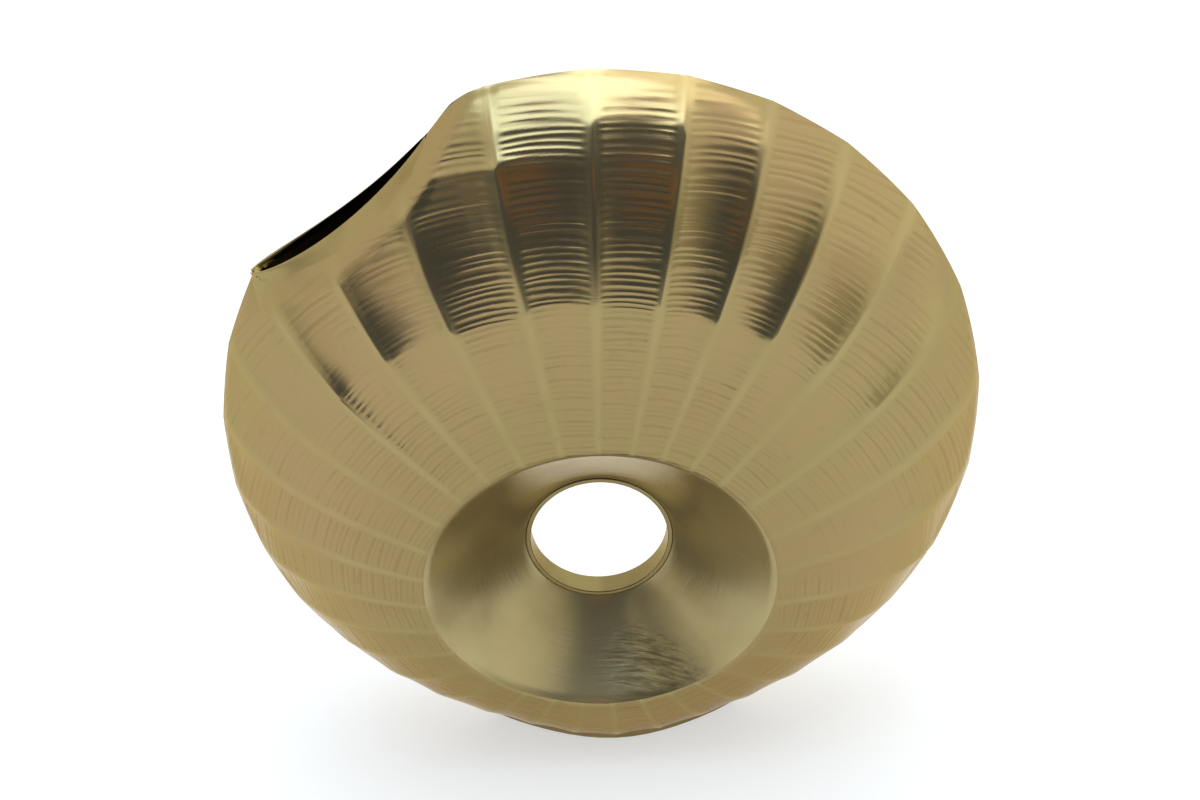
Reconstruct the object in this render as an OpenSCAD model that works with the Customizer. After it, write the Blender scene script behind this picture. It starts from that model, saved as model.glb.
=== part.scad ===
// Fluted disc vase in brass-coloured sheet metal, standing upright on a small sole.
// X runs to the right, Y from the front to the back and Z up. All sizes are in millimetres.
// The two halves of the body meet on the plane Y = 0. Each is a fan of flutes that runs from a
// smooth dish round the through-hole out to the rim. The rim is cut open at the upper left.

/* [Body] */
// Mean radius of the disc's outline
disc_r = 150; // [146:1:156]
// How far the outline stands out at the top and draws in at the sides
oval = 2; // [0:0.5:4]
// How far the outline stands out toward the upper right
lean = 0.8; // [0:0.2:2]
// Half of the body's thickness at its middle
half_t = 48; // [42:1:56]
// Height of the disc's centre above the surface it stands on
centre_h = 145; // [143:1:148]
// Thickness of the sheet, measured front to back
sheet_t = 2; // [1.6:0.2:3]

/* [Flutes] */
// Number of flutes round the disc
flutes = 31; // [24:1:36]
// Depth of a flute between its two ridges
flute_depth = 2; // [0:0.25:3]
// How far the rim draws in between two ridges
scallop = 0.5; // [0:0.1:1]
// Direction of the first ridge, anticlockwise from the right
first_ridge = -7; // [-12:1:0]
// How far the beaten ridges are crowded toward the top on the right-hand side
crowding = 10; // [0:1:12]
// How far the ridges beside the mouth are turned toward its lower end
mouth_turn = 1.5; // [0:0.5:3]

/* [Hole and dish] */
// Radius of the through-hole
bore_r = 28; // [25:1:30]
// Drop of the hole's axis below the disc's centre
hole_drop = 47; // [42:1:50]
// Shift of the hole's axis to the right of the disc's centre
hole_x = -3.5; // [-5:0.5:5]
// Wall of the sleeve that lines the hole
sleeve_wall = 2; // [1.5:0.5:3]
// Half of the sleeve's length between the two dishes
sleeve_half = 5; // [4:0.5:8]
// Half of the dish's width at its rim
dish_w = 68; // [62:1:72]
// Half of the dish's height at its rim
dish_h = 65; // [60:1:70]
// Rise of the dish's rim above the hole's axis
dish_rise = 6; // [0:1:8]

/* [Mouth] */
// Direction of the mouth from the disc's centre, anticlockwise from the right
mouth_a = 127.5; // [120:0.5:135]
// Distance of the mouth's middle from the disc's centre
mouth_near = 134.5; // [130:0.5:138]
// How far the mouth's edge bows in from a straight line
mouth_bow = 6.6; // [4:0.2:8]
// Half of the slit's width at its middle, outside the lips
mouth_half = 10; // [8:0.5:14]
// Where the slit closes, from 0 at the middle of the cut to 1 at its upper end
mouth_end = 0.7; // [0.5:0.05:1]
// How much wider the slit is toward its lower end
mouth_skew = 0.3; // [0:0.05:0.4]
// Width of the lip strips at their middle
lip_w = 4; // [3:0.5:6]

/* [Sole] */
// Thickness of the sole plate
sole_t = 2; // [1.5:0.5:3]
// How far the body swells forward and back above the sole
foot_swell = 6.3; // [4:0.5:9]
// Thickness of the felt under the sole plate
felt_t = 1; // [0.8:0.2:2]
// Size of the felt as a share of the sole plate's
felt_share = 0.94; // [0.8:0.02:0.98]

/* [Hidden] */
brass = [0.67, 0.59, 0.40];
felt_black = [0.16, 0.15, 0.14];

// Points on the disc are pairs [x, z] measured from the disc's centre.
hole = [hole_x, -hole_drop];
sole_z = felt_t + sole_t - centre_h;
braze_gap = 0.1;
dish_r = bore_r + sleeve_wall + braze_gap;
columns_per_flute = 4;
columns = flutes * columns_per_flute;
outer_rows = 9;
inner_rows = 5;
dish_rows = 4;
rim_power = 4.5;
rim_root = 1.1;
swell_w = 0.25 * disc_r;
swell_top = -0.65 * disc_r;
row_bias = 1.4;
dish_fade = 0.25;
rim_fade = 0.12;
rim_round = 3;
dish_bend = 1.1;
neck_w = 13;
neck_lean = 0.5;
neck_bend = 2;
neck_clear = 0.25;
lip_end = 0.93;
lip_bulge = 0.6;
lip_swell_at = 0.3;
lip_round = 0.75;
sole_steps = 24;
crowd_at = 38;
crowd_width = 38;
mouth_turn_at = mouth_a - 9.5;
mouth_turn_width = 16;

// The mouth's edge is an arc that bows into the disc, about a centre outside it.
mouth_chord = sqrt(pow(disc_r, 2) - pow(mouth_near + mouth_bow, 2));
mouth_r = (pow(mouth_chord, 2) + pow(mouth_bow, 2)) / (2 * mouth_bow);
mouth_o = (mouth_near + mouth_r) * [cos(mouth_a), sin(mouth_a)];
mouth_sweep = asin(mouth_chord / mouth_r);

function clamped(a) = min(1, max(0, a));
function eased(a) = let(k = clamped(a)) k * k * (3 - 2 * k);
function turned(a) = a - 360 * round(a / 360);
function bearing(p) = atan2(p[1], p[0]);
function ray(a) = [cos(a), sin(a)];

// Radius of the closed outline in direction a from the disc's centre
function outline_r(a) = disc_r - oval * cos(2 * a) + lean * sin(2 * a);

// Distances from the hole's axis in direction a: to the outline, the mouth and the sole
function rim_reach(a, r = disc_r, turns = 4) =
    let(b = hole * ray(a),
        s = sqrt(b * b - hole * hole + r * r) - b,
        p = hole + s * ray(a))
    turns == 0 ? s : rim_reach(a, outline_r(bearing(p)), turns - 1);
function mouth_reach(a) =
    let(b = (mouth_o - hole) * ray(a),
        q = b * b - (mouth_o - hole) * (mouth_o - hole) + mouth_r * mouth_r)
    b < 0 || q < 0 ? 2 * disc_r : b - sqrt(q);
function sole_reach(a) = sin(a) > -0.5 ? 2 * disc_r : (sole_z - hole[1]) / sin(a);
function edge_reach(a) = min(rim_reach(a), mouth_reach(a), sole_reach(a));

// Distance from the hole's axis to the rim of the dish in direction a
function dish_reach(a) =
    let(u = [cos(a) / dish_w, sin(a) / dish_h],
        o = [0, -dish_rise / dish_h],
        b = u * o)
    (sqrt(b * b - (u * u) * (o * o - 1)) - b) / (u * u);

// Place along the cut, -1 and 1 at its ends, and distance from its edge as a share of the neck
function along_cut(p) =
    turned(bearing(p - mouth_o) - mouth_a - 180) / mouth_sweep;
function neck_share(p) =
    clamped((norm(p - mouth_o) - mouth_r)
            / (neck_w * (1 - neck_lean * min(1, max(-1, along_cut(p))))));
function neck(p) = pow(1 - neck_share(p), neck_bend);

// Place along the slit, which closes before the upper end of the cut, and its shape there
function along_slit(p) = (2 * along_cut(p) + 1 - mouth_end) / (1 + mouth_end);
function lip_share(u) = sqrt(max(0, 1 - u * u));
function slit_y(u) = mouth_half * lip_share(u) * (1 - mouth_skew * u);

// Half thickness of the smooth body at a point
function body_y(p) =
    let(rho = min(1, norm(p) / outline_r(bearing(p))),
        dome = half_t * pow(1 - pow(rho, rim_power), 1 / rim_root),
        low = eased((swell_top - p[1]) / (swell_top - sole_z)),
        swell = foot_swell * low * exp(-pow(p[0] / swell_w, 2)),
        k = neck(p))
    (dome + swell) * (1 - k) + slit_y(along_slit(p)) * k;

// Hollow of a flute: 0 on its ridges and 1 half way between them
function hollow(j) =
    let(w = (j % columns_per_flute) / columns_per_flute)
    4 * w * (1 - w);

// Direction of column j, moved onto a corner of the outline when it lies close to one
function even_a(j) = first_ridge + j * 360 / columns;
function hump(a, at, width) = exp(-pow(turned(a - at) / width, 2));
function crowded(a) =
    a + crowding * hump(a, crowd_at, crowd_width)
      + mouth_turn * hump(a, mouth_turn_at, mouth_turn_width);
function corner_x(side, r = disc_r, turns = 4) =
    let(x = side * sqrt(r * r - sole_z * sole_z))
    turns == 0 ? x : corner_x(side, outline_r(atan2(sole_z, x)), turns - 1);
function mouth_corner(side) =
    let(a = mouth_a + side * acos((mouth_near + mouth_bow) / disc_r))
    outline_r(a) * ray(a);
corners = [for (p = [mouth_corner(-1), mouth_corner(1),
                     [corner_x(-1), sole_z], [corner_x(1), sole_z]]) bearing(p - hole)];
function snapped(a) =
    let(near = [for (c = corners) if (abs(turned(a - c)) < 180 / columns) c])
    len(near) > 0 ? near[0] : a;
angles = [for (j = [0 : columns - 1]) snapped(crowded(even_a(j)))];

// Edge of a shell, which stops short of the mouth by the width of the lip strip
function shell_reach(j) =
    let(a = angles[j],
        closed = rim_reach(a),
        s = edge_reach(a),
        p = hole + s * ray(a),
        u = along_slit(p),
        open = eased((closed - s) / rim_round))
    s - scallop * hollow(j) * (1 - open)
      - (mouth_reach(a) <= s ? lip_w * lip_share(u) : 0);

// Half thickness of the fluted body on column j at distance s from the hole's axis. Where the
// two halves meet at the rim it comes down to nothing, and at the mouth and the sole it stays.
function fluted_y(j, s) =
    let(p = hole + s * ray(angles[j]),
        from = dish_reach(angles[j]),
        to = shell_reach(j),
        t = clamped((s - from) / (to - from)),
        fade = eased(t / dish_fade) * eased((1 - t) / rim_fade)
             * eased((neck_share(p) - neck_clear) / (1 - neck_clear)),
        closed = rim_reach(angles[j]) - to < scallop + 0.01,
        rounding = closed ? eased((to - s) / rim_round) : 1)
    max(0, body_y(p) - flute_depth * hollow(j) * fade) * rounding;

function at(j, s, y) =
    let(p = hole + s * ray(angles[j]))
    [p[0], -y, p[1] + centre_h];

// One row of a shell's outside, and one of its inside; t runs from the dish to the edge
function outer_row(t) =
    [for (j = [0 : columns - 1])
        let(from = dish_reach(angles[j]),
            s = from + (shell_reach(j) - from) * t)
        at(j, s, fluted_y(j, s))];
function inner_row(t) =
    [for (j = [0 : columns - 1])
        let(from = dish_reach(angles[j]),
            edge = shell_reach(j),
            edge_y = fluted_y(j, edge),
            end = edge - max(0, sheet_t - edge_y),
            s = from + (end - from) * t)
        at(j, s, max(0, fluted_y(j, s) - sheet_t))];
function row_places(rows) = [for (i = [0 : rows - 1]) 1 - pow(1 - i / (rows - 1), row_bias)];

// Quads between two loops of n points that start at points p and q
function band(p, q, n) =
    [for (j = [0 : n - 1])
        let(k = (j + 1) % n)
        each [[p + j, p + k, q + k], [p + j, q + k, q + j]]];

// Ring-shaped solid through loops of points; the last loop joins the first
module ring_solid(loops) {
    n = len(loops[0]);
    m = len(loops);
    polyhedron([for (l = loops) each l],
               [for (i = [0 : m - 1]) each band(i * n, ((i + 1) % m) * n, n)]);
}

// Strip through closed sections, with a flat cap at each end
module strip_solid(sections) {
    n = len(sections[0]);
    m = len(sections);
    polyhedron([for (l = sections) each l],
               concat([for (i = [0 : m - 2]) each band(i * n, (i + 1) * n, n)],
                      [[for (k = [n - 1 : -1 : 0]) k]],
                      [[for (k = [0 : n - 1]) (m - 1) * n + k]]));
}

module shell() {
    outside = [for (t = row_places(outer_rows)) outer_row(t)];
    places = row_places(inner_rows);
    inside = [for (i = [inner_rows - 1 : -1 : 0]) inner_row(places[i])];
    ring_solid(concat(outside, inside));
}

// Dish from the sleeve at u = 0 out to its rim at u = 1
function dish_row(u, drop) =
    [for (j = [0 : columns - 1])
        let(rim = dish_reach(angles[j]),
            rim_y = fluted_y(j, rim),
            y = sleeve_half + (rim_y - sleeve_half) * pow(u, dish_bend))
        at(j, dish_r + (rim - dish_r) * u, y - drop)];

module dish() {
    steps = [for (i = [0 : dish_rows - 1]) i / (dish_rows - 1)];
    outside = [for (u = steps) dish_row(u, 0)];
    inside = [for (i = [dish_rows - 1 : -1 : 0]) dish_row(steps[i], sheet_t)];
    ring_solid(concat(outside, inside));
}

// Section of a lip strip on column j, from the shell's edge round the lip and back
function lip_section(j) =
    let(from = shell_reach(j),
        to = edge_reach(angles[j]),
        y0 = fluted_y(j, from),
        y1 = body_y(hole + to * ray(angles[j])),
        y2 = y1 - sheet_t,
        w = to - from)
    [at(j, from, y0),
     at(j, from + lip_swell_at * w, y0 + (y1 - y0) * lip_swell_at + lip_bulge),
     at(j, from + lip_round * w, y1 + lip_bulge),
     at(j, to, (y1 + y2) / 2),
     at(j, from + lip_round * w, y2),
     at(j, from, y0 - sheet_t)];

module lip() {
    strip_solid([for (j = [0 : columns - 1])
        let(p = hole + edge_reach(angles[j]) * ray(angles[j]))
        if (mouth_reach(angles[j]) <= edge_reach(angles[j]) + 0.001
            && abs(along_slit(p)) < lip_end)
        lip_section(j)]);
}

module at_hole() {
    translate([hole[0], 0, hole[1] + centre_h]) rotate([90, 0, 0]) children();
}

module front_shell() {
    color(brass) shell();
}

module back_shell() {
    color(brass) mirror([0, 1, 0]) shell();
}

module front_dish() {
    color(brass) dish();
}

module back_dish() {
    color(brass) mirror([0, 1, 0]) dish();
}

module bore_sleeve() {
    proud = 0.6;
    length = 2 * (sleeve_half + proud);
    color(brass) at_hole() difference() {
        cylinder(r = bore_r + sleeve_wall, h = length, center = true, $fn = 96);
        cylinder(r = bore_r, h = length + 2, center = true, $fn = 96);
    }
}

module front_lip() {
    color(brass) lip();
}

module back_lip() {
    color(brass) mirror([0, 1, 0]) lip();
}

// The sole closes the body's underside, so its outline is the body's section there.
function sole_outline() =
    let(left = corner_x(-1),
        right = corner_x(1),
        xs = [for (i = [0 : sole_steps])
              (left + right) / 2 - (right - left) / 2 * cos(180 * i / sole_steps)])
    concat([for (x = xs) [x, -body_y([x, sole_z])]],
           [for (i = [sole_steps - 1 : -1 : 1]) [xs[i], body_y([xs[i], sole_z])]]);

module sole_plate() {
    color(brass) translate([0, 0, felt_t]) linear_extrude(sole_t) polygon(sole_outline());
}

module felt_sole() {
    color(felt_black) linear_extrude(felt_t) scale(felt_share) polygon(sole_outline());
}

front_shell();
back_shell();
front_dish();
back_dish();
bore_sleeve();
front_lip();
back_lip();
sole_plate();
felt_sole();
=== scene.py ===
import math

import bmesh
import bpy
import numpy as np
from mathutils import Matrix, Vector


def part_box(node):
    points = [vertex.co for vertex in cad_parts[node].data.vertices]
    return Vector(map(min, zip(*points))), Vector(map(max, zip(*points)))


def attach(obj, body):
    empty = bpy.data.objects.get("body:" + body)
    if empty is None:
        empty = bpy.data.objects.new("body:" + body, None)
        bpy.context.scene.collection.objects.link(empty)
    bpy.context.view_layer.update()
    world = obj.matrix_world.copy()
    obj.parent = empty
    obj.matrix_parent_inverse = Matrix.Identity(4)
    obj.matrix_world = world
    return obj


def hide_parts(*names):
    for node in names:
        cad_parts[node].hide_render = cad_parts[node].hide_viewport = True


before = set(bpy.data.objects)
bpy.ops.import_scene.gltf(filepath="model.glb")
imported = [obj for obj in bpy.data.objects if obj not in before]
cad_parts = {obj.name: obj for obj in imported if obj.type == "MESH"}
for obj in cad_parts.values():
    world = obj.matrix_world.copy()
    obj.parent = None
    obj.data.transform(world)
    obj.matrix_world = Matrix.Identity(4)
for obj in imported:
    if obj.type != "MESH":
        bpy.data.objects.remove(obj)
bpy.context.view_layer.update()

bl_info = {
    "name": "Fluted Disc Vase",
    "version": (1, 0, 0),
    "blender": (4, 5, 0),
    "location": "3D View > Sidebar > Disc Vase",
    "description": "Builds a fluted disc vase in satin brass, with a dish, a through-hole and a slit mouth",
    "category": "Add Mesh",
}

MM = 0.001
SLEEVE_LOW, SLEEVE_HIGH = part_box("bore_sleeve")
HOLE_X = (SLEEVE_LOW.x + SLEEVE_HIGH.x) / 2
HOLE_Z = (SLEEVE_LOW.z + SLEEVE_HIGH.z) / 2


# ---------------------------------------------------------------------------
# Sizes and colours that a user would change
# ---------------------------------------------------------------------------

class VaseShape(bpy.types.PropertyGroup):
    """Sizes of the vase's body. They repeat its drawing's, with slightly deeper flutes."""

    disc_r: bpy.props.FloatProperty(
        name="Disc Radius", description="Mean radius of the disc's outline",
        default=150 * MM, unit="LENGTH")
    oval: bpy.props.FloatProperty(
        name="Oval", description="How far the outline stands out at the top and draws in at the sides",
        default=2 * MM, unit="LENGTH")
    lean: bpy.props.FloatProperty(
        name="Lean", description="How far the outline stands out toward the upper right",
        default=0.8 * MM, unit="LENGTH")
    half_t: bpy.props.FloatProperty(
        name="Half Thickness", description="Half of the body's thickness at its middle",
        default=48 * MM, unit="LENGTH")
    centre_h: bpy.props.FloatProperty(
        name="Centre Height", description="Height of the disc's centre above the surface it stands on",
        default=145 * MM, unit="LENGTH")
    sheet_t: bpy.props.FloatProperty(
        name="Sheet", description="Thickness of the sheet, measured front to back",
        default=2 * MM, unit="LENGTH")
    flutes: bpy.props.IntProperty(
        name="Flutes", description="Number of flutes round the disc", default=31)
    flute_depth: bpy.props.FloatProperty(
        name="Flute Depth", description="Depth of a flute between its two ridges",
        default=2.3 * MM, unit="LENGTH")
    scallop: bpy.props.FloatProperty(
        name="Scallop", description="How far the rim draws in between two ridges",
        default=0.5 * MM, unit="LENGTH")
    mouth_a: bpy.props.FloatProperty(
        name="Mouth Direction", description="Direction of the mouth from the disc's centre",
        default=math.radians(127.5), unit="ROTATION", subtype="ANGLE")
    mouth_near: bpy.props.FloatProperty(
        name="Mouth Distance", description="Distance of the mouth's middle from the disc's centre",
        default=134.5 * MM, unit="LENGTH")
    mouth_bow: bpy.props.FloatProperty(
        name="Mouth Bow", description="How far the mouth's edge bows in from a straight line",
        default=6.6 * MM, unit="LENGTH")
    mouth_half: bpy.props.FloatProperty(
        name="Mouth Half Width", description="Half of the slit's width at its middle",
        default=10 * MM, unit="LENGTH")
    mouth_end: bpy.props.FloatProperty(
        name="Mouth End",
        description="Where the slit closes, from 0 at the middle of the cut to 1 at its upper end",
        default=0.7, min=0, max=1)
    mouth_skew: bpy.props.FloatProperty(
        name="Mouth Skew", description="How much wider the slit is toward its lower end",
        default=0.3, min=0, max=0.4)
    lip_w: bpy.props.FloatProperty(
        name="Lip Width", description="Width of the lip strips at their middle",
        default=4 * MM, unit="LENGTH")


class VaseFinish(bpy.types.PropertyGroup):
    """Colours and surface values of the metal and the felt"""

    brass: bpy.props.FloatVectorProperty(
        name="Brass", description="Colour of the fluted body",
        default=(0.338, 0.262, 0.113), size=3, subtype="COLOR")
    brass_rosy: bpy.props.FloatVectorProperty(
        name="Rosy Brass", description="Colour of the warmer clouds in the body",
        default=(0.36, 0.25, 0.12), size=3, subtype="COLOR")
    # Painted highlight: this paler colour is laid along the ridges, where the metal would catch the light
    brass_highlight: bpy.props.FloatVectorProperty(
        name="Rubbed Brass", description="Colour of the ridges, rubbed bright by handling",
        default=(0.43, 0.345, 0.165), size=3, subtype="COLOR")
    # Dull Brass darkens clouds, grooves, specks and the flutes toward the dish; darkened further, it is the
    # colour of the dark reflection painted low in the front dish
    brass_dull: bpy.props.FloatVectorProperty(
        name="Dull Brass", description="Colour of the handled and darkened places",
        default=(0.17, 0.115, 0.04), size=3, subtype="COLOR")
    dish: bpy.props.FloatVectorProperty(
        name="Dish Brass", description="Colour of the turned dish",
        default=(0.44, 0.36, 0.175), size=3, subtype="COLOR")
    felt: bpy.props.FloatVectorProperty(
        name="Felt", description="Colour of the felt under the sole",
        default=(0.018, 0.016, 0.014), size=3, subtype="COLOR")
    roughness: bpy.props.FloatProperty(
        name="Satin", description="Roughness of the satin metal",
        default=0.21, min=0, max=1, subtype="FACTOR")
    line_pitch: bpy.props.FloatProperty(
        name="Line Pitch", description="Distance from one tool line to the next",
        default=2.3 * MM, unit="LENGTH")
    line_depth: bpy.props.FloatProperty(
        name="Line Depth", description="Height of the tool lines",
        default=0.06 * MM, unit="LENGTH")


class VaseStage(bpy.types.PropertyGroup):
    """Camera and studio values"""

    distance: bpy.props.FloatProperty(
        name="Distance", description="Distance of the camera from the disc's centre",
        default=0.63, unit="LENGTH")
    elevation: bpy.props.FloatProperty(
        name="Elevation", description="Height angle of the camera above the disc's centre",
        default=math.radians(34.1), unit="ROTATION", subtype="ANGLE")
    azimuth: bpy.props.FloatProperty(
        name="Azimuth", description="Angle of the camera round the vase, to the right of its front",
        default=math.radians(0.7), unit="ROTATION", subtype="ANGLE")
    tilt: bpy.props.FloatProperty(
        name="Tilt", description="How far the camera aims above the disc's centre",
        default=math.radians(1.28), unit="ROTATION", subtype="ANGLE")
    roll: bpy.props.FloatProperty(
        name="Roll", description="Turn of the camera about its own axis, clockwise",
        default=math.radians(3.35), unit="ROTATION", subtype="ANGLE")
    lens: bpy.props.FloatProperty(
        name="Lens", description="Focal length of the camera in millimetres", default=47.9)
    floor: bpy.props.FloatVectorProperty(
        name="Floor", description="Colour of the floor",
        default=(0.46, 0.455, 0.44), size=3, subtype="COLOR")
    floor_glow: bpy.props.FloatProperty(
        name="Floor Glow", description="Light that the floor gives out, which keeps its shadows pale",
        default=0.55, min=0)


# ---------------------------------------------------------------------------
# The body's form. Points on the disc are x and z measured from its centre.
# ---------------------------------------------------------------------------

def eased(a):
    """0 to 1 with a smooth start and end"""
    k = np.clip(a, 0, 1)
    return k * k * (3 - 2 * k)


def turned(a):
    """The same angle between half a turn back and half a turn on"""
    return a - 2 * math.pi * np.round(a / (2 * math.pi))


class Body:
    """The surface of the fluted body as functions of direction and distance from the hole's axis"""

    FAR_OFF = 1.0
    RIM_POWER = 4.5
    RIM_ROOT = 1.1
    CLOSING = 3 * MM
    FIRST_RIDGE = math.radians(-7)
    TIGHTER_AT_RIDGES = 0.09
    CROWDING = math.radians(10)
    CROWD_AT = math.radians(38)
    CROWD_WIDTH = math.radians(38)
    MOUTH_SPREAD = math.radians(1.5)
    MOUTH_SPREAD_AT = math.radians(118)
    MOUTH_SPREAD_WIDTH = math.radians(16)
    DISH_BEND = 1.1
    DISH_W = 68 * MM
    DISH_H = 65 * MM
    DISH_RISE = 6 * MM
    SLEEVE_R = 30 * MM
    SLEEVE_HALF = 5 * MM
    FOOT_SWELL = 6.3 * MM
    SWELL_TOP = -0.65
    SWELL_WIDTH = 0.25
    SOLE_TOP = 3 * MM
    NECK_W = 10.5 * MM
    NECK_BEND = 2.0
    NECK_LEAN = 0.5
    NECK_CLEAR = 0.2
    CORNER_ROUND = 5 * MM
    EDGE_ROUND = 2.2 * MM
    DISH_EDGE = 2.5 * MM
    DISH_EDGE_DROP = 0.8 * MM
    FLUTE_POWER = 2.2
    RIDGE_SOFT = 0.18
    SHALLOW_TO = 92 * MM
    DEEP_FROM = 150 * MM
    SHALLOW = 0.4
    UNEVEN = 0.25
    FADE_AT_DISH = 0.2
    FADE_AT_RIM = 0.1
    WANDER = 0.05
    WANDER_LENGTH = 17 * MM
    BREAK_SHIFT = 1.2 * MM
    BREAK_ROUND = 1 * MM
    BREAK_ENDS = 6
    BREAK_FADE_AT_RIM = 0.04
    # Raised rings about the hole where the beaten flutes break. Each has its distance from the
    # hole's axis, its height and its spread, and the directions in degrees that it runs between,
    # where it rises over BREAK_ENDS degrees.
    BREAKS = (
        (131 * MM, 1.3 * MM, 13 * MM, -20, 200),
        (166 * MM, 0.4 * MM, 4 * MM, 96, 112),
        (177 * MM, 1.2 * MM, 7 * MM, 86, 126),
        (178.5 * MM, 1.3 * MM, 2.2 * MM, 94, 126),
        (186.5 * MM, 1.2 * MM, 6 * MM, 62, 102),
    )

    def __init__(self, shape):
        self.v = shape
        self.hole = np.array([HOLE_X, HOLE_Z - shape.centre_h])
        self.sole_z = self.SOLE_TOP - shape.centre_h
        chord = math.sqrt(shape.disc_r ** 2 - (shape.mouth_near + shape.mouth_bow) ** 2)
        self.mouth_r = (chord ** 2 + shape.mouth_bow ** 2) / (2 * shape.mouth_bow)
        reach = shape.mouth_near + self.mouth_r
        self.mouth_o = reach * np.array([math.cos(shape.mouth_a), math.sin(shape.mouth_a)])
        self.mouth_sweep = math.asin(chord / self.mouth_r)

    def outline_r(self, a):
        """Radius of the closed outline in direction a from the disc's centre"""
        return self.v.disc_r - self.v.oval * np.cos(2 * a) + self.v.lean * np.sin(2 * a)

    def place(self, a, s):
        """x and z, from the disc's centre, at distance s from the hole's axis in direction a"""
        return self.hole[0] + s * np.cos(a), self.hole[1] + s * np.sin(a)

    def rim_reach(self, a):
        """Distance from the hole's axis to the closed outline"""
        b = self.hole[0] * np.cos(a) + self.hole[1] * np.sin(a)
        r = np.full_like(a, self.v.disc_r)
        for _ in range(5):
            s = np.sqrt(b * b - self.hole @ self.hole + r * r) - b
            x, z = self.place(a, s)
            r = self.outline_r(np.arctan2(z, x))
        return s

    def mouth_reach(self, a):
        """Distance from the hole's axis to the cut of the mouth, or far off where there is none"""
        far = self.mouth_o - self.hole
        b = far[0] * np.cos(a) + far[1] * np.sin(a)
        q = b * b - far @ far + self.mouth_r ** 2
        hit = (b > 0) & (q > 0)
        return np.where(hit, b - np.sqrt(np.maximum(q, 0)), self.FAR_OFF)

    def sole_reach(self, a):
        """Distance from the hole's axis to the sole, or far off in directions that miss it"""
        low = np.sin(a) < -0.5
        return np.where(low, (self.sole_z - self.hole[1]) / np.where(low, np.sin(a), -1), self.FAR_OFF)

    def dish_reach(self, a):
        """Distance from the hole's axis to the dish's rim"""
        ux, uz = np.cos(a) / self.DISH_W, np.sin(a) / self.DISH_H
        oz = -self.DISH_RISE / self.DISH_H
        b = uz * oz
        u2 = ux * ux + uz * uz
        return (np.sqrt(b * b - u2 * (oz * oz - 1)) - b) / u2

    def mouth_place(self, x, z):
        """-1 to 1 along the slit, and the distance from the cut's edge as a share of the neck"""
        dx, dz = x - self.mouth_o[0], z - self.mouth_o[1]
        along = turned(np.arctan2(dz, dx) - self.v.mouth_a - math.pi) / self.mouth_sweep
        width = self.NECK_W * (1 - self.NECK_LEAN * np.clip(along, -1, 1))
        away = np.clip((np.hypot(dx, dz) - self.mouth_r) / width, 0, 1)
        return (2 * along + 1 - self.v.mouth_end) / (1 + self.v.mouth_end), away

    def lip_share(self, along):
        """The slit's width and the lips' at a place along it, as a share of those at its middle"""
        return np.sqrt(np.clip(1 - along ** 2, 0, 1))

    def clear(self, away):
        """0 on the smooth neck of the mouth to 1 where the flutes have their full depth"""
        return eased((away - self.NECK_CLEAR) / (1 - self.NECK_CLEAR))

    def smooth_y(self, x, z):
        """Half thickness of the body before it is fluted"""
        rho = np.clip(np.hypot(x, z) / self.outline_r(np.arctan2(z, x)), 0, 1)
        dome = self.v.half_t * (1 - rho ** self.RIM_POWER) ** (1 / self.RIM_ROOT)
        top = self.SWELL_TOP * self.v.disc_r
        low = eased((top - z) / (top - self.sole_z))
        swell = self.FOOT_SWELL * low * np.exp(-(x / (self.SWELL_WIDTH * self.v.disc_r)) ** 2)
        along, away = self.mouth_place(x, z)
        neck = (1 - away) ** self.NECK_BEND
        lip = self.v.mouth_half * self.lip_share(along) * (1 - self.v.mouth_skew * along)
        return (dome + swell) * (1 - neck) + lip * neck

    def corners(self):
        """Directions from the hole of the outline's four corners"""
        half = math.acos((self.v.mouth_near + self.v.mouth_bow) / self.v.disc_r)
        points = []
        for side in (-1, 1):
            a = self.v.mouth_a + side * half
            r = self.outline_r(a)
            points.append((r * math.cos(a), r * math.sin(a)))
            x = side * self.v.disc_r / 3
            for _ in range(5):
                r = self.outline_r(math.atan2(self.sole_z, x))
                x = side * math.sqrt(r * r - self.sole_z ** 2)
            points.append((x, self.sole_z))
        return [math.atan2(z - self.hole[1], x - self.hole[0]) for x, z in points]

    def columns(self, per_flute):
        """Directions of the mesh's columns, with the flute number and the place across it"""
        n = self.v.flutes * per_flute
        number, step = np.divmod(np.arange(n), per_flute)
        across = step / per_flute
        across = across - self.TIGHTER_AT_RIDGES * np.sin(2 * math.pi * across)
        even = self.FIRST_RIDGE + (number + across) * 2 * math.pi / self.v.flutes
        near = turned(even - self.CROWD_AT) / self.CROWD_WIDTH
        beside = turned(even - self.MOUTH_SPREAD_AT) / self.MOUTH_SPREAD_WIDTH
        a = even + self.CROWDING * np.exp(-near ** 2) + self.MOUTH_SPREAD * np.exp(-beside ** 2)
        for corner in self.corners():
            gap = np.abs(turned(a - corner))
            a[np.argmin(gap)] = corner
        return a, number, across

    def edge(self, a, across, cut_back):
        """Reach of a shell, and how open its edge is: 0 on the closed rim, 1 at mouth and sole"""
        closed = self.rim_reach(a)
        mouth = self.mouth_reach(a)
        s = np.minimum(closed, mouth)
        near = np.clip(1 - np.abs(closed - mouth) / self.CORNER_ROUND, 0, 1)
        upper = self.mouth_place(*self.place(a, s))[0] > 1
        s = np.minimum(s - upper * near ** 2 * self.CORNER_ROUND / 4, self.sole_reach(a))
        opened = eased((closed - s) / self.CLOSING)
        along, _ = self.mouth_place(*self.place(a, s))
        strip = np.where(mouth < closed, self.v.lip_w * self.lip_share(along), 0)
        hollow = 4 * across * (1 - across)
        return s - self.v.scallop * hollow * (1 - opened) - strip * cut_back, opened

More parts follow.
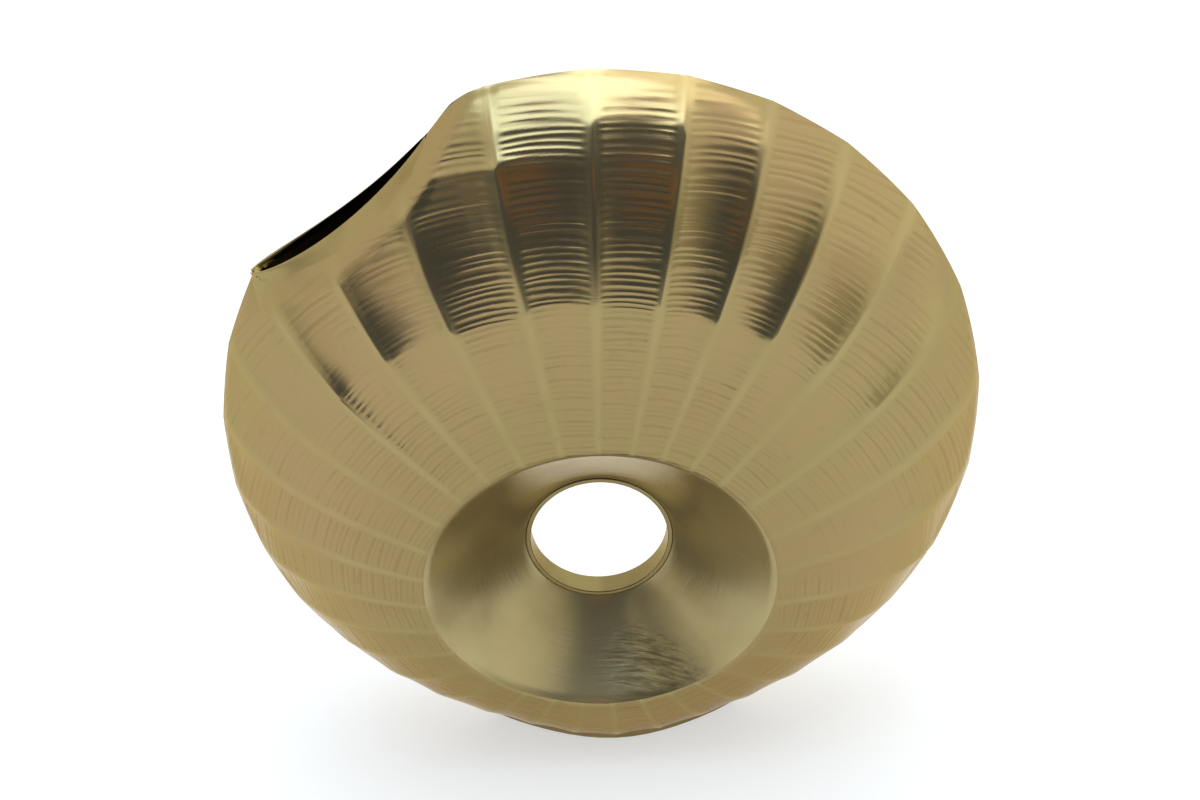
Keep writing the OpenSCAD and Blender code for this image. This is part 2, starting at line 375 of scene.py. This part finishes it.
    def hollow(self, number, across, s):
        """0 on a ridge to 1 in the bottom of a flute, with steep walls and rounded, wandering ridges"""
        middle = 4 * across * (1 - across)
        wander = self.WANDER * middle * np.sin(s / self.WANDER_LENGTH + 2.1 * number)
        m = np.abs(2 * (across + wander) - 1)
        deep = 1 - m ** self.FLUTE_POWER
        return np.sqrt(deep * deep + self.RIDGE_SOFT ** 2) - self.RIDGE_SOFT

    def beaten(self, a, number, across, s, reach):
        """What beating adds to or takes from the half thickness"""
        start = self.dish_reach(a)
        t = np.clip((s - start) / (reach - start), 0, 1)
        x, z = self.place(a, s)
        _, away = self.mouth_place(x, z)
        clear = self.clear(away)
        hollow = self.hollow(number, across, s)
        vary = 1 + self.UNEVEN * np.sin(2.4 * number + 0.7)
        deep = eased((s - self.SHALLOW_TO) / (self.DEEP_FROM - self.SHALLOW_TO))
        fade = eased(t / self.FADE_AT_DISH) * eased((1 - t) / self.FADE_AT_RIM)
        fade = fade * (self.SHALLOW + (1 - self.SHALLOW) * deep)
        y = -self.v.flute_depth * vary * hollow * fade * clear
        shift = self.BREAK_SHIFT * np.sin(1.9 * number + 0.4)
        heading = np.degrees(a)
        edge = eased((1 - t) / self.BREAK_FADE_AT_RIM) * clear
        for at, height, spread, first, last in self.BREAKS:
            begun = eased((heading - first) / self.BREAK_ENDS)
            within = begun * eased((last - heading) / self.BREAK_ENDS)
            gap = np.sqrt((s - at - shift) ** 2 + self.BREAK_ROUND ** 2)
            y = y + height * within * np.exp(-gap / spread) * edge
        return y - self.DISH_EDGE_DROP * np.clip(1 - (s - start) / self.DISH_EDGE, 0, 1) ** 2

    def y(self, a, number, across, s, reach, opened):
        """Half thickness of the finished body, rounded down to nothing at its closed rim"""
        x, z = self.place(a, s)
        y = self.smooth_y(x, z) + self.beaten(a, number, across, s, reach)
        k = np.clip((reach - s) / self.EDGE_ROUND, 0, 1)
        rounded = np.sqrt(np.clip(1 - (1 - k) ** 2, 0, 1))
        return np.maximum(y, 0) * (rounded * (1 - opened) + opened)


def to_world(body, a, s, y, side):
    """Points in direction a at distance s from the hole's axis, to the front for side -1"""
    x, z = body.place(a, s)
    return np.stack([x, side * y, z + body.v.centre_h], axis=-1)


def add_map(mesh, name, corners):
    """Adds a map to a mesh of quads, from the two values at each of their four corners"""
    layer = mesh.uv_layers.new(name=name)
    layer.data.foreach_set("uv", np.stack(corners, axis=-1).reshape(-1).astype(np.float32))


def ring_mesh(name, rows, grain=None, clear_and_share=None):
    """
    Mesh through closed rows of points, where the last row joins the first. A row is an (n, 3)
    array. Both maps, grain and the second, are each given as two (rows, n) arrays; grain's first is
    a flute's number and the place across it, which grows without a break round the row, and the
    second map holds how clear of the mouth's neck a place is and its share of the way along the flute.
    """
    m, n = len(rows), len(rows[0])
    co = np.concatenate(rows)
    i, j = np.meshgrid(np.arange(m), np.arange(n), indexing="ij")
    i2, j2 = (i + 1) % m, (j + 1) % n
    faces = np.stack([i * n + j, i * n + j2, i2 * n + j2, i2 * n + j], axis=-1).reshape(-1, 4)
    mesh = bpy.data.meshes.new(name)
    mesh.from_pydata(co.tolist(), [], faces.tolist())
    if grain is not None:
        u, v = grain
        on = u[i, j] + (u[0, 1] - u[0, 0])
        add_map(mesh, "grain", (u[i, j], v[i, j], on, v[i, j2], on, v[i2, j2], u[i, j], v[i2, j]))
    if clear_and_share is not None:
        u, v = clear_and_share
        add_map(mesh, "clear_and_share", (u[i, j], v[i, j], u[i, j2], v[i, j2],
                               u[i2, j2], v[i2, j2], u[i2, j], v[i2, j]))
    mesh.validate()
    return mesh


def add_piece(mesh, node, material, inside=None, first_inside=0):
    """Puts a mesh in the scene as a CAD node's visible form; faces from first_inside on are inside"""
    mesh.materials.append(material)
    if inside:
        mesh.materials.append(inside)
        count = len(mesh.polygons)
        mesh.polygons.foreach_set("material_index", [int(i >= first_inside) for i in range(count)])
    mesh.polygons.foreach_set("use_smooth", [True] * len(mesh.polygons))
    mesh.set_sharp_from_angle(angle=math.radians(50))
    mesh.update()
    piece = bpy.data.objects.new(mesh.name, mesh)
    bpy.context.scene.collection.objects.link(piece)
    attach(piece, "root")
    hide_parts(node)


def outward(mesh):
    """Turns a closed mesh's faces outward"""
    bm = bmesh.new()
    bm.from_mesh(mesh)
    bmesh.ops.recalc_face_normals(bm, faces=bm.faces)
    bm.to_mesh(mesh)
    bm.free()


# ---------------------------------------------------------------------------
# Shader maths
# ---------------------------------------------------------------------------

class Value:
    """A socket that can be used in sums"""

    def __init__(self, tree, socket):
        self.tree = tree
        self.socket = socket

    def math(self, operation, *others):
        return self.tree.node("ShaderNodeMath", {"operation": operation},
                              {i: o for i, o in enumerate((self, *others))})

    def __add__(self, other):
        return self.math("ADD", other)

    def __radd__(self, other):
        return self.math("ADD", other)

    def __sub__(self, other):
        return self.math("SUBTRACT", other)

    def __rsub__(self, other):
        return self.tree.node("ShaderNodeMath", {"operation": "SUBTRACT"}, {0: other, 1: self})

    def __mul__(self, other):
        return self.math("MULTIPLY", other)

    def __rmul__(self, other):
        return self.math("MULTIPLY", other)


class Tree:
    """Node tree that nodes are added to by type, settings and values or links"""

    def __init__(self, node_tree):
        self.nodes = node_tree.nodes
        self.links = node_tree.links
        self.nodes.clear()

    def node(self, kind, settings, inputs, output=0):
        """Adds a node, and gives one of its outputs as a Value"""
        node = self.nodes.new(kind)
        for name, value in settings.items():
            setattr(node, name, value)
        for name, value in inputs.items():
            socket = node.inputs[name]
            if isinstance(value, Value):
                self.links.new(value.socket, socket)
            else:
                socket.default_value = value
        return Value(self, node.outputs[output]) if node.outputs else None

    def mix(self, factor, a, b):
        """Colour a to colour b"""
        return self.node("ShaderNodeMix", {"data_type": "RGBA"}, {0: factor, 6: a, 7: b}, output=2)

    def steps(self, value, low, high, to_low=0.0, to_high=1.0):
        """Smooth change from to_low to to_high as value goes from low to high"""
        return self.node("ShaderNodeMapRange", {"interpolation_type": "SMOOTHSTEP"},
                         {0: value, 1: low, 2: high, 3: to_low, 4: to_high})

    def noise(self, vector, scale=1.0, detail=3.0, roughness=0.5):
        return self.node("ShaderNodeTexNoise", {"noise_dimensions": "3D"},
                         {"Vector": vector, "Scale": scale, "Detail": detail, "Roughness": roughness})

    def split(self, vector):
        """x, y and z of a vector"""
        x = self.node("ShaderNodeSeparateXYZ", {}, {0: vector})
        return [Value(self, output) for output in x.socket.node.outputs]

    def map(self, name):
        """Place on one of the mesh's maps"""
        return self.node("ShaderNodeUVMap", {"uv_map": name}, {})

    def place(self):
        """Place on the object"""
        return self.node("ShaderNodeTexCoord", {}, {}, output=3)

    def direction(self):
        """Direction that a ray leaves in, for a world"""
        return self.node("ShaderNodeTexCoord", {}, {}, output=0)

    def bump(self, height, distance, strength=1.0, under=None):
        """Normal of a surface raised by height, on top of the bumps under it"""
        values = {"Strength": strength, "Distance": distance, "Height": height}
        if under:
            values["Normal"] = under
        return self.node("ShaderNodeBump", {}, values)

    def oval(self, u, v, at, half, low, high):
        """Smooth change from 0 to 1 as the place (u, v) in an oval goes from low to high"""
        du = (u - at[0]) * (1 / half[0])
        dv = (v - at[1]) * (1 / half[1])
        return self.steps(du * du + dv * dv, low, high)

    def scaled(self, vector, by):
        """A vector with each of its parts scaled"""
        return self.node("ShaderNodeVectorMath", {"operation": "MULTIPLY"}, {0: vector, 1: by})


EDGE_TINT = (0.85, 0.74, 0.55, 1)
PLAIN_TINT = (1, 1, 1, 1)


def rgba(colour):
    return (*colour, 1.0)


def new_material(name):
    material = bpy.data.materials.new(name)
    material.use_nodes = True
    return material, Tree(material.node_tree)


def add_surface(tree, colour, roughness, normal, metallic=1.0):
    """Ends a material. Metals are tinted where they are seen edge on."""
    shader = tree.node("ShaderNodeBsdfPrincipled", {}, {
        "Base Color": colour, "Roughness": roughness, "Metallic": metallic, "Normal": normal,
        "Specular Tint": EDGE_TINT if metallic else PLAIN_TINT})
    tree.node("ShaderNodeOutputMaterial", {}, {"Surface": shader})


def fluted_brass(finish):
    """Satin brass with clouds of colour, painted highlights along the ridges and fine tool lines across
    each flute
    """
    material, tree = new_material("fluted_brass")
    place = tree.place()
    grain = tree.map("grain")
    across, along, _ = tree.split(grain)
    clear, share, _ = tree.split(tree.map("clear_and_share"))
    number = across.math("FLOOR")
    flute = across - number
    from_middle = (flute * 2 - 1).math("ABSOLUTE")
    in_flute = tree.steps(from_middle, 0.93, 0.7)
    clouds = tree.noise(place, 9.0, 4.0, 0.55)
    patches = tree.noise(place, 22.0, 2.0, 0.5)
    specks = tree.noise(place, 160.0, 3.0, 0.6)

    # The tool lines wander and shiver along the flute, and each flute's are tilted its own way
    sway = tree.noise(tree.scaled(grain, (0.15, 60.0, 1.0)), detail=2.0, roughness=0.6)
    shiver = tree.noise(tree.scaled(grain, (0.9, 350.0, 1.0)), detail=2.0)
    tilt = (number * 1.3).math("SINE") * (flute - 0.5) * 3
    turn = along * (2 * math.pi / finish.line_pitch) + number * 1.7 + tilt + sway * 22 + shiver * 3
    fine = turn.math("SINE")
    broad = (turn * 0.43 + number * 2.3).math("SINE")
    cut = in_flute * tree.steps(patches, 0.34, 0.6, 0.12, 1.0) * clear
    dents = tree.noise(tree.scaled(grain, (1.3, 130.0, 1.0)), detail=2.0)
    lines = (fine * 0.8 + broad * 0.3) * cut
    relief = lines + dents * 5 * in_flute * clear
    groove = tree.steps(lines, -0.1, -0.9)

    # Rosy clouds and flute bottoms, painted highlights along the ridges, and darker toward the dish, in
    # grooves and specks
    rosy = tree.steps(clouds, 0.4, 0.7) * 0.6 + tree.steps(from_middle, 0.8, 0.1) * 0.4
    colour = tree.mix(rosy, rgba(finish.brass), rgba(finish.brass_rosy))
    # Painted highlight along the ridges, in patches and kept off the smooth neck
    ridge_highlight = tree.steps(from_middle, 0.76, 0.98) * tree.steps(patches, 0.3, 0.7, 0.1, 0.4) * clear
    colour = tree.mix(ridge_highlight, colour, rgba(finish.brass_highlight))
    # Darker toward the dish end of each flute
    colour = tree.mix(tree.steps(share, 0.55, 0.05) * 0.16, colour, rgba(finish.brass_dull))
    colour = tree.mix(groove * 0.22, colour, rgba(finish.brass_dull))
    colour = tree.mix(tree.steps(specks, 0.6, 0.8) * 0.2, colour, rgba(finish.brass_dull))

    roughness = finish.roughness + (clouds - 0.5) * 0.10 + groove * 0.08
    hairs = tree.noise(tree.scaled(grain, (6.0, 1900.0, 1.0)), detail=2.0, roughness=0.6)
    soft = tree.bump(hairs, 0.05 * MM, 0.3)
    normal = tree.bump(relief, finish.line_depth, under=soft)
    add_surface(tree, colour, roughness, normal)
    return material


def turned_brass(finish):
    """Satin brass with faint rings, for the dish, scuffed low in the front one, with a dark reflection
    painted over the scuffs
    """
    material, tree = new_material("turned_brass")
    place = tree.place()
    grain = tree.map("grain")
    clouds = tree.noise(place, 14.0, 4.0, 0.5)
    rings = tree.noise(tree.scaled(grain, (0.6, 900.0, 1.0)), detail=2.0)
    colour = tree.mix(tree.steps(clouds, 0.4, 0.7) * 0.6, rgba(finish.dish), rgba(finish.brass_dull))
    # Low in the front dish: scuffs that are rougher and bumped, with a dark reflection painted over them
    x, y, z = tree.split(place)
    spot = tree.oval(x, z, (14 * MM, 50 * MM), (30 * MM, 14 * MM), 1.0, 0.0)
    front = tree.steps(y, 0.0, -4 * MM)
    scuffs = tree.noise(tree.scaled(place, (90.0, 200.0, 1300.0)), detail=5.0, roughness=0.7)
    scuffs_and_painted_reflection = spot * front * tree.steps(scuffs, 0.35, 0.65)
    painted_reflection_colour = tuple(0.35 * c for c in finish.brass_dull)
    colour = tree.mix(scuffs_and_painted_reflection * 0.75, colour, rgba(painted_reflection_colour))
    roughness = finish.roughness + 0.03 + (clouds - 0.5) * 0.12 + scuffs_and_painted_reflection * 0.1
    relief = rings + scuffs_and_painted_reflection * 0.5
    normal = tree.bump(relief, 0.12 * MM, 0.3)
    add_surface(tree, colour, roughness, normal, metallic=0.7)
    return material


def rubbed_brass(finish, name, painted_shade):
    """Plain satin brass for the lips, the sleeve and the sole, its colours darkened by the last argument as
    painted shade, for the sleeve down the hole and the sole under the body
    """
    material, tree = new_material(name)
    place = tree.place()
    clouds = tree.noise(place, 40.0, 4.0, 0.5)
    hairs = tree.noise(tree.scaled(place, (60.0, 900.0, 60.0)), detail=2.0)
    # Painted shade: both colours are scaled down by the given factor
    pale = tuple(c * painted_shade for c in finish.brass)
    dull = tuple(c * painted_shade for c in finish.brass_dull)
    colour = tree.mix(tree.steps(clouds, 0.45, 0.75) * 0.4, rgba(pale), rgba(dull))
    roughness = finish.roughness + 0.04 + (clouds - 0.5) * 0.15
    normal = tree.bump(hairs, 0.1 * MM, 0.2)
    add_surface(tree, colour, roughness, normal)
    return material


def raw_brass(finish):
    """Dull unpolished brass inside the body"""
    material, tree = new_material("raw_brass")
    place = tree.place()
    stains = tree.noise(place, 60.0, 4.0, 0.6)
    pits = tree.noise(place, 900.0, 2.0, 0.6)
    # The inside's pale tone is taken from the ridge highlight colour, darkened
    pale = tuple(0.55 * c for c in finish.brass_highlight)
    colour = tree.mix(tree.steps(stains, 0.35, 0.7), rgba(pale), rgba(finish.brass_dull))
    roughness = 0.5 + stains * 0.2
    normal = tree.bump(pits, 0.1 * MM, 0.4)
    add_surface(tree, colour, roughness, normal, metallic=0.5)
    return material


def pressed_felt(finish):
    """Dark felt with a short nap"""
    material, tree = new_material("pressed_felt")
    place = tree.place()
    nap = tree.noise(place, 1800.0, 3.0, 0.7)
    pale = tuple(c * 2.2 for c in finish.felt)
    colour = tree.mix(nap, rgba(finish.felt), rgba(pale))
    normal = tree.bump(nap, 0.3 * MM, 0.8)
    add_surface(tree, colour, 0.95, normal, metallic=0.0)
    return material


# ---------------------------------------------------------------------------
# Operators, one for each group of pieces and one for the stage
# ---------------------------------------------------------------------------

class VASE_OT_shells(bpy.types.Operator):
    """Build the two fluted halves of the body"""

    bl_idname = "vase.shells"
    bl_label = "Fluted Shells"

    PER_FLUTE = 24
    ROWS = 170
    INNER_ROWS = 14
    CLOSER_AT_RIM = 1.2
    INNER_CLOSER_AT_RIM = 1.4

    def execute(self, context):
        body = Body(context.scene.vase_shape)
        brass = fluted_brass(context.scene.vase_finish)
        inside = raw_brass(context.scene.vase_finish)
        a, number, across = body.columns(self.PER_FLUTE)
        start = body.dish_reach(a)
        reach, opened = body.edge(a, across, 1.0)
        edge_y = body.y(a, number, across, reach, reach, opened)
        end = reach - np.maximum(0, body.v.sheet_t - edge_y)
        for side, node in ((-1, "front_shell"), (1, "back_shell")):
            rows, us, vs, clears, shares = [], [], [], [], []
            for k in range(self.ROWS):
                t = 1 - (1 - k / (self.ROWS - 1)) ** self.CLOSER_AT_RIM
                s = start + (reach - start) * t
                y = body.y(a, number, across, s, reach, opened)
                rows.append(to_world(body, a, s, y, side))
                us.append(number + across)
                vs.append(s)
                clears.append(body.clear(body.mouth_place(*body.place(a, s))[1]))
                shares.append(0 * s + t)
            for k in reversed(range(self.INNER_ROWS)):
                t = 1 - (1 - k / (self.INNER_ROWS - 1)) ** self.INNER_CLOSER_AT_RIM
                s = start + (end - start) * t
                y = body.y(a, number, across, s, reach, opened)
                rows.append(to_world(body, a, s, np.maximum(y - body.v.sheet_t, 0), side))
                us.append(number + across)
                vs.append(s)
                clears.append(0 * s)
                shares.append(0 * s + t)
            mesh = ring_mesh(node + "_beaten", rows, (np.array(us), np.array(vs)),
                             (np.array(clears), np.array(shares)))
            outward(mesh)
            add_piece(mesh, node, brass, inside, self.ROWS * len(a))
        return {"FINISHED"}


class VASE_OT_dishes(bpy.types.Operator):
    """Build the smooth dish in each face"""

    bl_idname = "vase.dishes"
    bl_label = "Dishes"

    PER_FLUTE = 24
    ROWS = 61
    INNER_EVERY = 4
    BRAZE_GAP = 0.1 * MM

    def execute(self, context):
        body = Body(context.scene.vase_shape)
        brass = turned_brass(context.scene.vase_finish)
        a, number, across = body.columns(self.PER_FLUTE)
        reach, opened = body.edge(a, across, 1.0)
        rim = body.dish_reach(a)
        rim_y = body.y(a, number, across, rim, reach, opened) + body.DISH_EDGE_DROP
        near = body.SLEEVE_R + self.BRAZE_GAP
        for side, node in ((-1, "front_dish"), (1, "back_dish")):
            rows, us, vs = [], [], []
            places = [k / (self.ROWS - 1) for k in range(self.ROWS)]
            outside = [(u, 0) for u in places]
            inside = [(u, body.v.sheet_t) for u in places[::-self.INNER_EVERY]]
            for u, drop in outside + inside:
                s = near + (rim - near) * u
                edge = np.clip(1 - (rim - s) / body.DISH_EDGE, 0, 1)
                y = body.SLEEVE_HALF + (rim_y - body.SLEEVE_HALF) * u ** body.DISH_BEND - drop
                y = y - body.DISH_EDGE_DROP * edge ** 2
                rows.append(to_world(body, a, s, y, side))
                us.append(number + across)
                vs.append(s)
            mesh = ring_mesh(node + "_turned", rows, (np.array(us), np.array(vs)))
            outward(mesh)
            add_piece(mesh, node, brass)
        return {"FINISHED"}


class VASE_OT_sleeve(bpy.types.Operator):
    """Build the sleeve that lines the hole"""

    bl_idname = "vase.sleeve"
    bl_label = "Bore Sleeve"

    WALL = 2 * MM
    SHORTER = 0.3 * MM
    BEVEL = 0.5 * MM
    BEVEL_STEPS = 6
    SIDES = 192

    def execute(self, context):
        # The sleeve's brass is painted a quarter darker, as shade down the hole
        brass = rubbed_brass(context.scene.vase_finish, "sleeve_brass", 0.75)
        outer = (SLEEVE_HIGH.x - SLEEVE_LOW.x) / 2
        inner = outer - self.WALL
        half = (SLEEVE_HIGH.y - SLEEVE_LOW.y) / 2 - self.SHORTER
        bevel = self.BEVEL
        section = []
        for r, y, start in ((outer - bevel, half - bevel, 0), (inner + bevel, half - bevel, 90),
                            (inner + bevel, bevel - half, 180), (outer - bevel, bevel - half, 270)):
            for k in range(self.BEVEL_STEPS + 1):
                q = math.radians(start + 90 * k / self.BEVEL_STEPS)
                section.append((r + bevel * math.cos(q), y + bevel * math.sin(q)))
        a = np.linspace(0, 2 * math.pi, self.SIDES + 1)[:-1]
        rows = [np.stack([HOLE_X + r * np.cos(a), 0 * a + y, HOLE_Z + r * np.sin(a)], axis=-1)
                for r, y in section]
        mesh = ring_mesh("bore_sleeve_turned", rows)
        outward(mesh)
        add_piece(mesh, "bore_sleeve", brass)
        return {"FINISHED"}


class VASE_OT_lips(bpy.types.Operator):
    """Build the rounded strip along each edge of the mouth"""

    bl_idname = "vase.lips"
    bl_label = "Mouth Lips"

    STEPS = 160
    ENDS = 0.985
    END_LENGTH = 0.25
    THIN_ENDS = 0.4
    TUCK = 0.3 * MM
    END_TUCK = 1.7 * MM
    SECTION_HALF = 1.1 * MM
    SEAM_HALF = 1.0 * MM
    ROUND_STEPS = 12
    THINNEST = 0.05 * MM

    def execute(self, context):
        body = Body(context.scene.vase_shape)
        brass = rubbed_brass(context.scene.vase_finish, "lip_brass", 1.0)
        v = np.sin(np.linspace(-math.pi / 2, math.pi / 2, self.STEPS)) * self.ENDS
        cut = (v * (1 + body.v.mouth_end) - 1 + body.v.mouth_end) / 2
        q = body.v.mouth_a + math.pi + cut * body.mouth_sweep
        full = eased((1 - np.abs(v)) / self.END_LENGTH)
        taper = self.THIN_ENDS + (1 - self.THIN_ENDS) * full
        width = body.v.lip_w * body.lip_share(v) + self.TUCK + self.END_TUCK * (1 - full)
        for side, node in ((-1, "front_lip"), (1, "back_lip")):
            sections = []
            for share, lift in self.section():
                r = body.mouth_r + width * (1 - share)
                x = body.mouth_o[0] + r * np.cos(q)
                z = body.mouth_o[1] + r * np.sin(q)
                y = body.smooth_y(x, z) - body.v.sheet_t / 2 + lift * taper
                y = side * np.maximum(y, self.THINNEST)
                sections.append(np.stack([x, y, z + body.v.centre_h], axis=-1))
            mesh = self.strip(node + "_rolled", sections)
            outward(mesh)
            add_piece(mesh, node, brass)
        return {"FINISHED"}

    def section(self):
        """Half-round strip: share of the width from the shell to the edge, and lift from mid-sheet"""
        half = self.SECTION_HALF
        points = [(0.0, self.SEAM_HALF), (0.3, half), (0.5, half)]
        for k in range(1, self.ROUND_STEPS):
            b = math.pi / 2 - math.pi * k / self.ROUND_STEPS
            points.append((0.5 + 0.5 * math.cos(b), half * math.sin(b)))
        return points + [(0.5, -half), (0.3, -half), (0.0, -self.SEAM_HALF)]

    def strip(self, name, sections):
        """Mesh between lines that run the length of the strip, with a cap at each end"""
        m, n = len(sections), len(sections[0])
        co = np.concatenate(sections)
        faces = []
        for i in range(m):
            for j in range(n - 1):
                k = (i + 1) % m
                faces.append((i * n + j, i * n + j + 1, k * n + j + 1, k * n + j))
        faces.append(tuple(i * n for i in range(m)))
        faces.append(tuple(i * n + n - 1 for i in reversed(range(m))))
        mesh = bpy.data.meshes.new(name)
        mesh.from_pydata(co.tolist(), [], faces)
        mesh.validate()
        return mesh


class VASE_OT_sole(bpy.types.Operator):
    """Finish the sole plate and its felt"""

    bl_idname = "vase.sole"
    bl_label = "Sole and Felt"

    def execute(self, context):
        finish = context.scene.vase_finish
        # The sole plate's brass is painted a fifth darker, as shade under the body
        for node, material in (("sole_plate", rubbed_brass(finish, "sole_brass", 0.8)),
                               ("felt_sole", pressed_felt(finish))):
            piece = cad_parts[node]
            piece.data.materials.clear()
            piece.data.materials.append(material)
        return {"FINISHED"}


class VASE_OT_stage(bpy.types.Operator):
    """Set up the floor, the studio light and the camera"""

    bl_idname = "vase.stage"
    bl_label = "Stage"

    FLOOR_HALF = 30.0
    CLOUDY_FLOOR = (0.4, 0.4, 0.4, 1)
    LIGHT_AT = (0.25, 0.15, 1.4)
    LIGHT_AIM = (0, 0, 0.15)
    LIGHT_SIZE = 0.9
    LIGHT_POWER = 3
    PALE_WALL = (1.05, 1.05, 1.02, 1)
    RIGHT_WALL = (1.3, 1.35, 1.28, 1)
    CEILING = (2.6, 3.3, 4.2, 1)
    DIM_FRONT = (0.115, 0.14, 0.2, 1)
    WARM_FRONT = (0.34, 0.21, 0.13, 1)
    FAR_LEFT = (0.75, 0.76, 0.74, 1)
    NEAR_LEFT = (0.24, 0.24, 0.25, 1)
    NEAR_RIGHT = (0.52, 0.52, 0.42, 1)

    def execute(self, context):
        stage = context.scene.vase_stage
        self.add_floor(stage)
        self.add_surroundings(context.scene)
        self.add_light()
        self.add_camera(context, stage)
        context.scene.view_settings.view_transform = "Standard"
        return {"FINISHED"}

    def add_floor(self, stage):
        mesh = bpy.data.meshes.new("floor")
        size = self.FLOOR_HALF
        mesh.from_pydata([(-size, -size, 0), (size, -size, 0), (size, size, 0), (-size, size, 0)],
                         [], [(0, 1, 2, 3)])
        material, tree = new_material("pale_floor")
        place = tree.place()
        colour = tree.mix(tree.noise(place, 2.0) * 0.05, rgba(stage.floor), self.CLOUDY_FLOOR)
        shader = tree.node("ShaderNodeBsdfPrincipled", {}, {
            "Base Color": colour, "Roughness": 0.9,
            "Emission Color": (1, 1, 1, 1), "Emission Strength": stage.floor_glow})
        tree.node("ShaderNodeOutputMaterial", {}, {"Surface": shader})
        mesh.materials.append(material)
        floor = bpy.data.objects.new("floor", mesh)
        bpy.context.scene.collection.objects.link(floor)

    def add_surroundings(self, scene):
        """
        A pale room with a bright ceiling, brightest on the right, and a dim side in front.
        Turn is in degrees round the room, with 0 in front of the vase and 90 to its right, and
        height is in degrees above level.
        """
        world = bpy.data.worlds.new("studio")
        world.use_nodes = True
        scene.world = world
        tree = Tree(world.node_tree)
        x, y, z = tree.split(tree.direction())
        turn = x.math("ARCTAN2", 0 - y) * math.degrees(1)
        height = z.math("ARCSINE") * math.degrees(1)
        lift = height + tree.steps(turn, 0, -40) * 8

        right = tree.steps(turn, 58, 82)
        left = tree.steps(turn, -98, -84) * tree.steps(turn, -34, -46)
        left = left * tree.steps(height, 12, 22) * tree.steps(height, 54, 42)
        beside = tree.steps(turn, 8, 20) * tree.steps(turn, 58, 42)
        beside = beside * tree.steps(height, 0, 4) * tree.steps(height, 50, 36)
        front = tree.steps(turn, -46, -34) * tree.steps(turn - tree.steps(height, 22, 38) * 16, 38, 14)
        front = front * tree.steps(height, -1, 2) * tree.steps(lift, 76, 70)
        warm = tree.oval(turn, height, (3, 41), (16, 10), 1.1, 0.5)
        ceiling = tree.steps(lift, 69, 77)

        colour = tree.mix(right, self.PALE_WALL, self.RIGHT_WALL)
        left_wall = tree.mix(tree.steps(turn, -70, -52), self.FAR_LEFT, self.NEAR_LEFT)
        colour = tree.mix(left, colour, left_wall)
        colour = tree.mix(beside, colour, self.NEAR_RIGHT)
        colour = tree.mix(front, colour, tree.mix(warm, self.DIM_FRONT, self.WARM_FRONT))
        colour = tree.mix(ceiling, colour, self.CEILING)
        seen_directly = tree.node("ShaderNodeLightPath", {}, {})
        colour = tree.mix(seen_directly, colour, (1, 1, 1, 1))
        back = tree.node("ShaderNodeBackground", {}, {"Color": colour, "Strength": 1.0})
        tree.node("ShaderNodeOutputWorld", {}, {"Surface": back})

    def add_light(self):
        """A soft square light overhead"""
        data = bpy.data.lights.new("overhead", "AREA")
        data.size = self.LIGHT_SIZE
        data.energy = self.LIGHT_POWER
        light = bpy.data.objects.new("overhead", data)
        light.location = self.LIGHT_AT
        aim = Vector(self.LIGHT_AIM) - Vector(self.LIGHT_AT)
        light.rotation_euler = aim.to_track_quat("-Z", "Y").to_euler()
        bpy.context.scene.collection.objects.link(light)

    def add_camera(self, context, stage):
        centre = Vector((0, 0, context.scene.vase_shape.centre_h))
        turn = Matrix.Rotation(stage.azimuth, 3, "Z")
        e, aim = stage.elevation, stage.elevation - stage.tilt
        offset = turn @ Vector((0, -math.cos(e), math.sin(e))) * stage.distance
        forward = turn @ Vector((0, math.cos(aim), -math.sin(aim)))
        up = turn @ Vector((0, math.sin(aim), math.cos(aim)))
        right = forward.cross(up)
        c, s = math.cos(stage.roll), math.sin(stage.roll)
        level = Matrix((right * c - up * s, right * s + up * c, -forward)).transposed()
        data = bpy.data.cameras.new("camera")
        data.lens = stage.lens
        data.sensor_width = 36
        camera = bpy.data.objects.new("camera", data)
        camera.matrix_world = Matrix.Translation(centre + offset) @ level.to_4x4()
        context.scene.collection.objects.link(camera)
        context.scene.camera = camera


class VASE_PT_panel(bpy.types.Panel):
    """Lists the vase's pieces and the stage"""

    bl_idname = "VASE_PT_panel"
    bl_label = "Disc Vase"
    bl_space_type = "VIEW_3D"
    bl_region_type = "UI"
    bl_category = "Disc Vase"

    def draw(self, context):
        for operator in OPERATORS:
            self.layout.operator(operator.bl_idname)


GROUPS = (("vase_shape", VaseShape), ("vase_finish", VaseFinish), ("vase_stage", VaseStage))
OPERATORS = (VASE_OT_shells, VASE_OT_dishes, VASE_OT_sleeve, VASE_OT_lips, VASE_OT_sole, VASE_OT_stage)


def register():
    for name, group in GROUPS:
        bpy.utils.register_class(group)
        setattr(bpy.types.Scene, name, bpy.props.PointerProperty(type=group))
    for kind in (*OPERATORS, VASE_PT_panel):
        bpy.utils.register_class(kind)


def unregister():
    for kind in reversed((*OPERATORS, VASE_PT_panel)):
        bpy.utils.unregister_class(kind)
    for name, group in reversed(GROUPS):
        delattr(bpy.types.Scene, name)
        bpy.utils.unregister_class(group)


def main():
    register()
    bpy.ops.vase.shells()
    bpy.ops.vase.dishes()
    bpy.ops.vase.sleeve()
    bpy.ops.vase.lips()
    bpy.ops.vase.sole()
    bpy.ops.vase.stage()


if __name__ == "__main__":
    main()
